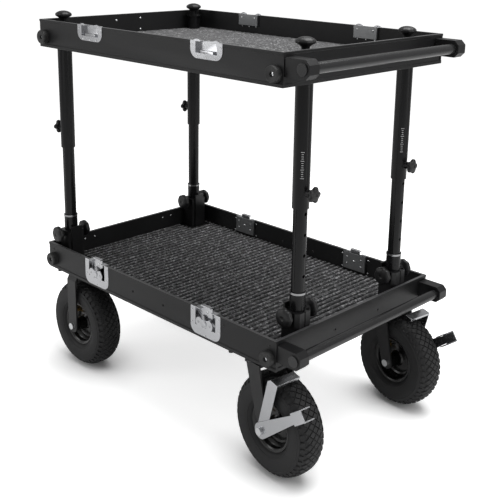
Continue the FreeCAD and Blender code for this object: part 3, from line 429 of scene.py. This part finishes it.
# Posts: drawn tubes, black anodised. The sleeve ends in a polished ring; the inner tube is drilled every
# 50 mm, and the outer tube carries a flange on top and a threaded boss for its lock.
def drawn_tube(name, colour, rough):
    """Anodised tube: long faint draw lines along Z under a satin sheen."""
    surface = coated(name, colour, rough, 1200, 0.00003, shine=0.25)
    tree = surface.node_tree
    where = next(n for n in tree.nodes if n.bl_idname == "ShaderNodeTexCoord")
    stretch = tree.nodes.new("ShaderNodeMapping")
    stretch.inputs["Scale"].default_value = (900, 900, 6)
    lines = tree.nodes.new("ShaderNodeTexNoise")
    lines.inputs["Scale"].default_value = 1
    bump = tree.nodes.new("ShaderNodeBump")
    bump.inputs["Distance"].default_value = 0.00004
    first = next(n for n in tree.nodes if n.bl_idname == "ShaderNodeBump" and n != bump)
    tree.links.new(where.outputs["Object"], stretch.inputs["Vector"])
    tree.links.new(stretch.outputs["Vector"], lines.inputs["Vector"])
    tree.links.new(lines.outputs["Fac"], bump.inputs["Height"])
    tree.links.new(first.outputs["Normal"], bump.inputs["Normal"])
    tree.links.new(bump.outputs["Normal"], tree.nodes["Principled BSDF"].inputs["Normal"])
    return surface


def seat_of(joint):
    """The place and direction of a joint: its axis becomes Z of the seat."""
    found = next(j for j in frame["joints"] if j["name"] == joint)
    turn = Vector(found["axis"]).to_track_quat("Z", "Y").to_matrix().to_4x4()
    return Matrix.Translation(Vector(found["pos_m"])) @ turn


tube_black = drawn_tube("post_anodised", (0.006, 0.006, 0.0065), 0.24)
ring_bright = coated("ring_polished", (0.3, 0.3, 0.305), 0.24, 1500, 0.00002, metal=1.0)
made = worked_copy("lower_posts")
ring_up, ring_tall, ring_slack, sleeve_radius = 0.138, 0.0056, 0.0005, 0.0185
ring_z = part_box("post_clamps")[0].z + ring_up
post_at = {corner: seat_of(f"cap_knob_turn_{corner}").translation
           for corner in ("near_right", "far_right", "near_left", "far_left")}
for face in made.faces:
    spot = face.calc_center_median()
    if ring_z - ring_slack < spot.z < ring_z + ring_tall:
        reach = min(hypot(spot.x - post.x, spot.y - post.y) for post in post_at.values())
        face.material_index = 1 if reach > sleeve_radius else 0
piece_of("fixed_posts", made, [tube_black, ring_bright], body_of("lower_posts"),
         ["lower_posts"], edge=0.0005)
piece_of("sliding_posts", worked_copy("upper_posts"), [tube_black], body_of("upper_posts"),
         ["upper_posts"], edge=0.0006)

# A plain printed height scale on each right-hand post, above its lock, towards the handle end.
print_white = coated("scale_ink", (0.55, 0.55, 0.55), 0.6, 700, 0.00002)
ticks, tick_step, tick_tall, above_lock, print_radius = 13, 0.005, 0.0011, 0.035, 0.0201
made = bmesh.new()
for corner in ("near_right", "far_right"):
    centre = post_at[corner]
    first_z = seat_of(f"height_lock_turn_{corner}").translation.z + above_lock
    for step in range(ticks):
        wide = 0.0075 if step % 4 == 0 else 0.0045
        arc = wide / print_radius
        start = -pi / 4 - arc / 2
        low_z = first_z + step * tick_step
        spot = centre + Vector((print_radius * cos(start), print_radius * sin(start), 0))
        ends = [made.verts.new((spot.x, spot.y, z)) for z in (low_z, low_z + tick_tall)]
        edge = made.edges.new(ends)
        bmesh.ops.spin(made, geom=[*ends, edge], angle=arc, steps=3, axis=(0, 0, 1),
                       cent=(centre.x, centre.y, 0), use_duplicate=False)
bmesh.ops.solidify(made, geom=made.faces, thickness=0.0002)
bmesh.ops.recalc_face_normals(made, faces=made.faces)
piece_of("height_scales", made, [print_white], body_of("upper_posts"))


# Knobs: moulded black plastic. Mushroom knobs cap the posts, round fluted knobs sit on both ends of
# each clamp's cross bolt, and five-lobed knobs turn the height locks.
def turned_on(seat, profile, steps=60):
    """Spins a profile of (radius, height) points about the seat's Z."""
    made = bmesh.new()
    points = [made.verts.new((radius, 0, height)) for radius, height in profile]
    edges = [made.edges.new(pair) for pair in zip(points, points[1:])]
    bmesh.ops.spin(made, geom=[*points, *edges], angle=tau, steps=steps, axis=(0, 0, 1), cent=(0, 0, 0),
                   use_merge=True)
    bmesh.ops.remove_doubles(made, verts=made.verts, dist=1e-6)
    bmesh.ops.transform(made, matrix=seat, verts=made.verts)
    bmesh.ops.recalc_face_normals(made, faces=made.faces)
    return made


def fluted(made, seat, lobes, depth, radius, power=1.0):
    """Presses scallops into a turned head; they fade out towards its middle."""
    back = seat.inverted()
    for point in made.verts:
        local = back @ point.co
        reach = hypot(local.x, local.y)
        if reach < radius * 0.35:
            continue
        share = min(1.0, (reach / radius) ** 3)
        angle = atan2(local.y, local.x)
        dip = (0.5 - 0.5 * cos(lobes * angle)) ** power * depth * share
        local.x *= (reach - dip) / reach
        local.y *= (reach - dip) / reach
        point.co = seat @ local


def added(made, other):
    """Puts the other piece's mesh into this one."""
    mesh = bpy.data.meshes.new("passing")
    other.to_mesh(mesh)
    other.free()
    made.from_mesh(mesh)
    bpy.data.meshes.remove(mesh)
    return made


knob_black = coated("knob_moulding", (0.009, 0.009, 0.0095), 0.38, 1100, 0.0001, shine=0.4)
mushroom = [(0, 0), (0.009, 0), (0.0092, 0.010), (0.0105, 0.0135), (0.016, 0.0175), (0.0215, 0.0205),
            (0.0228, 0.0225), (0.023, 0.0245), (0.0226, 0.0268), (0.0205, 0.0292), (0.016, 0.032),
            (0.0105, 0.034), (0.0055, 0.0349), (0.002, 0.0348), (0, 0.0346)]
bolt_rod = [(0.0, -0.0376), (0.004, -0.0376), (0.004, 0.0376), (0.0, 0.0376)]
bolt_knob = [(0, 0.0274), (0.010, 0.0274), (0.0101, 0.0365), (0.0145, 0.0385), (0.0215, 0.0393),
             (0.0236, 0.0412), (0.024, 0.0435), (0.0238, 0.0474), (0.0222, 0.0506), (0.018, 0.0528),
             (0.012, 0.0537), (0.0062, 0.0539), (0.0055, 0.0531), (0, 0.0529)]
lobed_knob = [(0, -0.0117), (0.004, -0.0117), (0.004, 0.0003), (0.0085, 0.0003), (0.0088, 0.004),
              (0.0165, 0.0055), (0.0188, 0.0075), (0.0195, 0.0100), (0.0188, 0.0132), (0.0160, 0.0152),
              (0.0090, 0.0162), (0.0050, 0.0163), (0.0042, 0.0150), (0, 0.0148)]
for corner in post_at:
    node = f"cap_knob_{corner}"
    low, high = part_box(node)
    seat = Matrix.Translation(((low.x + high.x) / 2, (low.y + high.y) / 2, low.z))
    made = turned_on(seat, mushroom)
    fluted(made, seat, 8, 0.0012, 0.023)
    piece_of(f"{node}_moulded", made, [knob_black], body_of(node), [node], sharp=50)

    node = f"cross_bolt_{corner}"
    seat = seat_of(f"cross_bolt_turn_{corner}")
    made = turned_on(seat, bolt_rod, 24)
    for flip in (seat, seat @ Matrix.Rotation(pi, 4, "X")):
        head = turned_on(flip, bolt_knob)
        fluted(head, flip, 8, 0.0016, 0.024, 1.4)
        added(made, head)
    piece_of(f"{node}_moulded", made, [knob_black], body_of(node), [node], sharp=50)

    node = f"height_lock_{corner}"
    seat = seat_of(f"height_lock_turn_{corner}")
    made = turned_on(seat, lobed_knob)
    fluted(made, seat, 5, 0.0058, 0.0195, 1.5)
    piece_of(f"{node}_moulded", made, [knob_black], body_of(node), [node], sharp=50)


# Push handles: a black anodised tube between two cast brackets with chamfered ends, and a pressed cap
# on each end of the tube.
bracket_black = coated("bracket_casting", (0.009, 0.009, 0.0095), 0.38, 800, 0.00008, shine=0.3)
bar_black = coated("handle_tube", (0.012, 0.012, 0.0125), 0.26, 1200, 0.00003)
for tray in ("lower", "upper"):
    brackets, bar = f"{tray}_handle_brackets", f"{tray}_handle_bar"
    piece_of(f"{tray}_brackets_cast", worked_copy(brackets), [bracket_black], body_of(brackets),
             [brackets], edge=0.0009)
    piece_of(f"{tray}_bar_tube", worked_copy(bar), [bar_black], body_of(bar), [bar],
             edge=0.0011)


# Bumpers: hard rubber discs screwed through their middle to the long walls, with a raised rim round
# a dished face. The screw's bright head lies at the bottom of the bore.
bumper_black = coated("bumper_rubber", (0.015, 0.015, 0.015), 0.55, 700, 0.00012)
screw_bright = coated("screw_head", (0.7, 0.71, 0.72), 0.22, 900, 0.00003, metal=1.0)


def joined_at(places, profile, steps=40):
    """One mesh with the turned profile at each of the places."""
    made = bmesh.new()
    for seat in places:
        added(made, turned_on(seat, profile, steps))
    return made


bumper_radius, bumper_thick = 0.019, 0.015
disc = [(0, 0), (0.019, 0), (0.019, 0.0105), (0.0186, 0.0132), (0.0172, 0.0148), (0.0152, 0.015),
        (0.0138, 0.0142), (0.0078, 0.0138), (0.0062, 0.0132), (0.0055, 0.0118), (0.0055, 0.007), (0, 0.007)]
sunk_screw = [(0, 0.0069), (0.0051, 0.0069), (0.0051, 0.0082), (0.0042, 0.0094), (0.0018, 0.0099),
              (0.0014, 0.0086), (0, 0.0084)]
for tray in ("lower", "upper"):
    node = f"{tray}_bumpers"
    low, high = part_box(node)
    z = (low.z + high.z) / 2
    places = []
    for side, face in ((-1, low.y + bumper_thick), (1, high.y - bumper_thick)):
        for x in (low.x + bumper_radius, high.x - bumper_radius):
            places.append(Matrix.Translation((x, face, z)) @ Matrix.Rotation(-side * pi / 2, 4, "X"))
    piece_of(f"{tray}_bumper_discs", joined_at(places, disc), [bumper_black], body_of(node),
             [node], sharp=40)
    piece_of(f"{tray}_bumper_screws", joined_at(places, sunk_screw, 24), [screw_bright], body_of(node),
             sharp=35)


# Latches: pressed from sheet and zinc plated. A dish is riveted into the wall by its flange, a
# butterfly handle turns in front of it and draws a hooked claw; the upper wall has a shallow catch dish.
zinc = coated("zinc_plating", (0.5, 0.505, 0.52), 0.25, 500, 0.00008, metal=1.0, clouding=0.14)
zinc_dull = coated("zinc_inside", (0.3, 0.305, 0.31), 0.4, 450, 0.0001, metal=1.0, clouding=0.2)
for node, surface, rounded in (("latch_dishes", zinc, 0.0008), ("catch_dishes", zinc, 0.0008),
                               ("latch_covers", zinc_dull, 0.001), ("catch_covers", zinc_dull, 0.001)):
    piece_of(f"{node}_plated", worked_copy(node), [surface], body_of(node), [node],
             edge=rounded)


def wall_seat(x, side, inward, z):
    """A place on a long wall, this far inside its outer face, that looks outwards."""
    face = near_wall[0].y if side < 0 else far_wall[1].y
    return Matrix.Translation((x, face - side * inward, z)) @ Matrix.Rotation(-side * pi / 2, 4, "X")


def rivet_head(radius):
    return [(radius, -0.0004), (radius, 0.0004), (radius * 0.8, 0.0011), (radius * 0.4, 0.0015), (0, 0.0016)]


def rivets(name, places, radius, body):
    """Bright round heads of one size, made as one piece."""
    made = joined_at(places, rivet_head(radius), 16)
    piece_of(name, made, [screw_bright], body, sharp=60)


# A near-black for the handle's holes: painted shade.
painted_hole_shade = coated("latch_eye", (0.01, 0.01, 0.01), 0.6, 900, 0.00003)
dish_rivet, wall_rivet, pan_back, wall_back = 0.0023, 0.0027, 0.0148, 0.008
for tray, edge, node, spots, on_pan, on_wall in (
        ("lower", lower_edge, "latch_dishes",
         ((-0.047, -0.010), (-0.047, -0.042), (0, -0.0665), (0.047, -0.042), (0.047, -0.010)),
         ((-0.025, -0.014, 0.0026), (-0.025, -0.034, 0.0026), (0.025, -0.014, 0.0026),
          (0.025, -0.034, 0.0026), (0, -0.024, 0.0044)),
         ((-0.046, -0.011), (-0.046, -0.050), (0, -0.0515), (0.046, -0.011), (0.046, -0.050))),
        ("upper", upper_edge, "catch_dishes",
         ((-0.047, -0.010), (-0.029, -0.036), (0, -0.036), (0.029, -0.036), (0.047, -0.010)),
         ((-0.027, -0.010, 0.0028), (0.027, -0.010, 0.0028)),
         ((-0.029, -0.036), (0, -0.036), (0.029, -0.036)))):
    dishes = [(mid.x + way * latch_x, side) for way in (-1, 1) for side in (-1, 1)]
    places = [wall_seat(x + dx, side, 0, edge + dz) for x, side in dishes for dx, dz in spots]
    rivets(f"{tray}_dish_rivets", places, dish_rivet, body_of(node))
    heads = [(dx, dz, pan_back, radius) for dx, dz, radius in on_pan]
    heads += [(dx, dz, wall_back, wall_rivet) for dx, dz in on_wall]
    inside = bmesh.new()
    for x, side in dishes:
        for dx, dz, inward, radius in heads:
            seat = wall_seat(x + dx, side, inward, edge + dz) @ Matrix.Rotation(pi, 4, "X")
            added(inside, turned_on(seat, rivet_head(radius), 16))
    piece_of(f"{tray}_inner_rivets", inside, [screw_bright], body_of(node), sharp=60)
boss = [(0.0072, -0.0004), (0.0072, 0.0005), (0.0058, 0.0009), (0.003, 0.001), (0, 0.0009)]
eye = [(0.0026, -0.0006), (0.0026, 0.0001), (0.0021, 0.0001), (0.0018, -0.0001), (0, -0.0002)]
eye_share, eye_sunk = 0.68, 0.001
claw_inward, claw_drop, claw_rivet = 0.0082, 0.007, 0.0038
for corner in post_at:
    for kind, width in (("latch_handle", 0.0008), ("latch_claw", 0.0006)):
        node = f"{kind}_{corner}"
        piece_of(f"{node}_plated", worked_copy(node), [zinc], body_of(node), [node], edge=width)
    handle = f"latch_handle_{corner}"
    seat = seat_of(f"latch_turn_{corner}")
    low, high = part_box(handle)
    outer = abs((low.y if corner.startswith("near") else high.y) - seat.translation.y)
    half = (high.x - low.x) / 2
    made = joined_at([seat @ Matrix.Translation((0, 0, outer))], boss, 32)
    piece_of(f"latch_boss_{corner}", made, [zinc], body_of(handle), sharp=40)
    # Near-black discs in the handle's two holes stand in for the shade inside them: painted shade.
    places = [seat @ Matrix.Translation((way * half * eye_share, 0, outer - eye_sunk)) for way in (-1, 1)]
    made = joined_at(places, eye, 20)
    piece_of(f"latch_eyes_{corner}", made, [painted_hole_shade], body_of(handle), sharp=40)
    side = -1 if corner.startswith("near") else 1
    places = [wall_seat(seat.translation.x, side, claw_inward, lower_edge - claw_drop)]
    rivets(f"claw_rivet_{corner}", places, claw_rivet, body_of(f"latch_claw_{corner}"))


# Casters: a pressed plate bolted under the deck. At the handle end it carries half of a swivel race and a
# welded fork, at the other end a fork bent from one plate. Black powder coat, zinc plated bolts and nuts.
fork_black = coated("fork_powder_coat", (0.011, 0.011, 0.0115), 0.34, 1000, 0.00008, shine=0.35)
plates = "caster_plates"
piece_of("caster_plates_coated", worked_copy(plates), [fork_black], body_of(plates), [plates],
         edge=0.0008)
race_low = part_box(plates)[0].z
race_thick, bolt_x, bolt_y = 0.004, 0.043, 0.037
hex_bolt = [(0, 0), (0.0048, 0), (0.0052, 0.0008), (0.0052, 0.0034), (0.0046, 0.004), (0.003, 0.0041),
            (0.003, 0.0052), (0, 0.0054)]
bolts = bmesh.new()
for corner in post_at:
    joint = f"swivel_{corner}" if corner.endswith("right") else f"wheel_spin_{corner}"
    middle = seat_of(joint).translation
    for dx in (-bolt_x, bolt_x):
        for dy in (-bolt_y, bolt_y):
            foot = Matrix.Translation((middle.x + dx, middle.y + dy, race_low + race_thick))
            added(bolts, turned_on(foot @ Matrix.Rotation(pi, 4, "X"), hex_bolt, 6))
piece_of("caster_bolts", bolts, [screw_bright], body_of(plates), sharp=30)
nut_radius, leg_out, lower_race = 0.0102, 0.0515, race_low - 0.0045
for corner in post_at:
    node = f"caster_fork_{corner}"
    made = worked_copy(node)
    back = seat_of(f"wheel_spin_{corner}").inverted()
    for face in made.faces:
        points = [back @ point.co for point in face.verts]
        on_bolt = all(hypot(p.x, p.y) < nut_radius and abs(p.z) > leg_out for p in points)
        on_race = corner.endswith("right") and all(point.co.z > lower_race for point in face.verts)
        face.material_index = 1 if on_bolt or on_race else 0
    piece_of(f"{node}_coated", made, [fork_black, screw_bright], body_of(node), [node],
             edge=0.0008)


# Wheels: a gloss black pressed rim with a rolled lip, a dished disc, a plain hub and a brass valve stem,
# in a pneumatic tyre with diamond blocks round its crown and square lugs on its shoulders.
tyre_black = coated("tyre_rubber", (0.014, 0.014, 0.0145), 0.6, 380, 0.0002, clouding=0.3, shine=0.35)
rim_black = coated("rim_gloss", (0.005, 0.005, 0.005), 0.26, 300, 0.00004, gloss_coat=0.2, shine=0.35)
brass = coated("valve_brass", (0.75, 0.48, 0.14), 0.25, 900, 0.00003, metal=1.0)
TYRE = 0.127
TYRE_HALF = 0.041
WALL_MIDDLE = 0.0915
WALL_DEEP = 0.0355
GROOVE = 0.0028
ROOT = 0.0012
TAPER = 0.86
BLOCKS = 42
COLUMN = 0.0095
SLIT = 0.0007


def section(angle, inset=0.0):
    """A point of the tyre's rounded-square section; the angle is from the axle's direction."""
    across = abs(cos(angle)) ** 0.8 * (TYRE_HALF - inset) * (1 if cos(angle) > 0 else -1)
    out = WALL_MIDDLE + abs(sin(angle)) ** 0.8 * (WALL_DEEP - inset) * (1 if sin(angle) > 0 else -1)
    return out, across


def on_tread(around, across, sunk):
    """A point of the tread, by its distances round the crown and from the crown's middle."""
    share = (abs(across) / TYRE_HALF) ** 1.25
    radius = WALL_MIDDLE + (1 - share * share) ** 0.4 * WALL_DEEP - sunk
    angle = around / TYRE
    return radius * cos(angle), radius * sin(angle), across


def tread_row(made, outline, middle):
    """One block raised from the floor between the blocks to the crown, then repeated round the tyre."""
    foot = [made.verts.new(on_tread(around, across, GROOVE + ROOT)) for around, across in outline]
    face = made.faces.new(foot)
    raised = bmesh.ops.extrude_face_region(made, geom=[face], use_keep_orig=True)["geom"]
    top = [item for item in raised if isinstance(item, bmesh.types.BMVert)]
    for point in top:
        now = (atan2(point.co.y, point.co.x) * TYRE, point.co.z)
        around, across = (centre + (place - centre) * TAPER for centre, place in zip(middle, now))
        point.co = on_tread(around, across, 0)
    every = {item for point in foot + top for item in (point, *point.link_edges, *point.link_faces)}
    bmesh.ops.spin(made, geom=list(every), angle=tau * (BLOCKS - 1) / BLOCKS, steps=BLOCKS - 1,
                   axis=(0, 0, 1), cent=(0, 0, 0), use_duplicate=True)


def tyre_at(seat):
    """The hollow shell, five staggered columns of blocks, and a row of lugs on each shoulder."""
    side = [(-44, 0), (-36, 0), (-28, 0), (-26.5, -0.0007), (-25, 0), (-14, 0), (-3, 0), (7, 0), (14, 0),
            (15.5, -0.0007), (17, 0), (22, 0), (27, 0), (31, GROOVE)]
    half = [(0.056, 0.0275), (0.0633, 0.0275)] + [section(radians(a), inset) for a, inset in side]
    crown = [section(radians(a), GROOVE) for a in range(38, 146, 8)]
    other = [(r, -z) for r, z in reversed(half)]
    inside = [(0.056, -0.0205), (0.068, -0.0255), (0.09, -0.033), (0.112, -0.026), (0.1195, 0),
              (0.112, 0.026), (0.09, 0.033), (0.068, 0.0255), (0.056, 0.0205)]
    loop = half + crown + other + inside
    made = bmesh.new()
    points = [made.verts.new((radius, 0, height)) for radius, height in loop]
    edges = [made.edges.new(pair) for pair in zip(points, points[1:] + points[:1])]
    bmesh.ops.spin(made, geom=[*points, *edges], angle=tau, steps=72, axis=(0, 0, 1), cent=(0, 0, 0),
                   use_merge=True)
    bmesh.ops.remove_doubles(made, verts=made.verts, dist=1e-6)
    blocks = bmesh.new()
    pitch = tau * TYRE / BLOCKS
    long_half, wide_half = pitch / 2 - SLIT, COLUMN - SLIT
    for column in range(-2, 3):
        turn, across = pitch / 2 * (column % 2), column * COLUMN
        tread_row(blocks, [(turn - long_half, across), (turn, across - wide_half),
                           (turn + long_half, across), (turn, across + wide_half)], (turn, across))
    turn, lug_half, lug_inner, lug_outer = pitch / 2, 0.0058, 0.0292, 0.0368
    for way in (-1, 1):
        inner, outer = way * lug_inner, way * lug_outer
        tread_row(blocks, [(turn - lug_half, inner), (turn + lug_half, inner), (turn + lug_half, outer),
                           (turn - lug_half, outer)], (turn, (inner + outer) / 2))
    bmesh.ops.recalc_face_normals(blocks, faces=blocks.faces)
    bmesh.ops.recalc_face_normals(made, faces=made.faces)
    added(made, blocks)
    bmesh.ops.transform(made, matrix=seat, verts=made.verts)
    return made


rim_half = [(0.0178, 0.0455), (0.0178, 0.030), (0.0182, 0.012), (0.022, 0.0085), (0.034, 0.0070),
            (0.0415, 0.0040), (0.0458, 0.0060), (0.0475, 0.0100), (0.0530, 0.0155), (0.0540, 0.0262),
            (0.0565, 0.0285), (0.0600, 0.0297), (0.0622, 0.0300), (0.0632, 0.0292), (0.0630, 0.0279),
            (0.0560, 0.0277), (0.0555, 0.0155), (0.0500, 0.0105)]
bore, hub_out = 0.0062, 0.0455
rim_loop = [(bore, hub_out)] + rim_half + [(r, -z) for r, z in reversed(rim_half)]
rim_loop += [(bore, -hub_out), (bore, hub_out)]
valve_stem = [(0, 0), (0.0052, 0), (0.0052, 0.004), (0.004, 0.006), (0.0036, 0.020), (0.0041, 0.0205),
              (0.0041, 0.0275), (0.0034, 0.0285), (0, 0.0285)]
stem_out, stem_across, stem_around, stem_lean = 0.0445, -0.004, 38, -14
for corner in post_at:
    seat = seat_of(f"wheel_spin_{corner}")
    node = f"tyre_{corner}"
    piece_of(f"{node}_treaded", tyre_at(seat), [tyre_black], body_of(node), [node], sharp=28)
    node = f"rim_{corner}"
    made = turned_on(seat, rim_loop, 64)
    piece_of(f"{node}_gloss", made, [rim_black], body_of(node), [node], sharp=30)
    around = seat @ Matrix.Rotation(radians(stem_around), 4, "Z")
    stem = around @ Matrix.Translation((stem_out, 0, stem_across))
    stem = stem @ Matrix.Rotation(pi, 4, "X") @ Matrix.Rotation(radians(stem_lean), 4, "Y")
    made = turned_on(stem, valve_stem, 20)
    piece_of(f"valve_{corner}", made, [brass], body_of(node), sharp=40)


# Brakes on the two casters at the handle end: a zinc plated stirrup whose shoe reaches over the tread,
# and a pressed lever with a forked pedal that turns on the axle bolt.
for corner in ("near_right", "far_right"):
    for kind in ("brake_stirrup", "brake_lever"):
        node = f"{kind}_{corner}"
        piece_of(f"{node}_plated", worked_copy(node), [zinc], body_of(node), [node],
                 edge=0.0008)


# Small hardware: black button screws outside the lower long walls, bright screws inside the left-hand end
# walls, and small rubber feet pressed in under the lower tray's long walls.
screw_dark = coated("screw_black_oxide", (0.008, 0.008, 0.008), 0.4, 900, 0.00004)
screw_x, screw_sunk, screw_drop = (0.284, 0.435), 0.0015, 0.0175
button = [(0.0034, -0.0004), (0.0034, 0.0003), (0.0026, 0.0011), (0.0012, 0.0013), (0.0011, 0.0004),
          (0, 0.0003)]
places = [wall_seat(mid.x + way * x, side, screw_sunk, lower_edge - screw_drop)
          for way in (-1, 1) for side in (-1, 1) for x in screw_x]
made = joined_at(places, button, 20)
piece_of("wall_screws", made, [screw_dark], "lower_cart", sharp=40)
end_wall_thick, end_screw = 0.008, 0.0034
left_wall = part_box("lower_end_rails")[0].x + end_wall_thick
for tray, edge, spots in (
        ("lower", lower_edge, ((-0.175, -0.019), (-0.140, -0.019), (0.130, -0.019), (0.165, -0.019))),
        ("upper", upper_edge, ((-0.040, -0.018), (0.050, -0.015), (0.050, -0.048)))):
    places = [Matrix.Translation((left_wall, mid.y + y, edge + z)) @ Matrix.Rotation(pi / 2, 4, "Y")
              for y, z in spots]
    rivets(f"{tray}_end_screws", places, end_screw, body_of(f"{tray}_end_rails"))
foot_rubber = coated("foot_rubber", (0.012, 0.012, 0.012), 0.7, 600, 0.0002)
foot_x, foot_in = (-0.415, 0.305), 0.008
places = [Matrix.Translation((mid.x + x, y, near_wall[0].z)) @ Matrix.Rotation(pi, 4, "X")
          for x in foot_x for y in (near_wall[0].y + foot_in, far_wall[1].y - foot_in)]
wall_foot = [(0, -0.0006), (0.0062, -0.0006), (0.0062, 0.0058), (0.0056, 0.0068), (0.003, 0.0072),
             (0, 0.0072)]
made = joined_at(places, wall_foot, 20)
piece_of("tray_feet", made, [foot_rubber], "lower_cart", sharp=40)
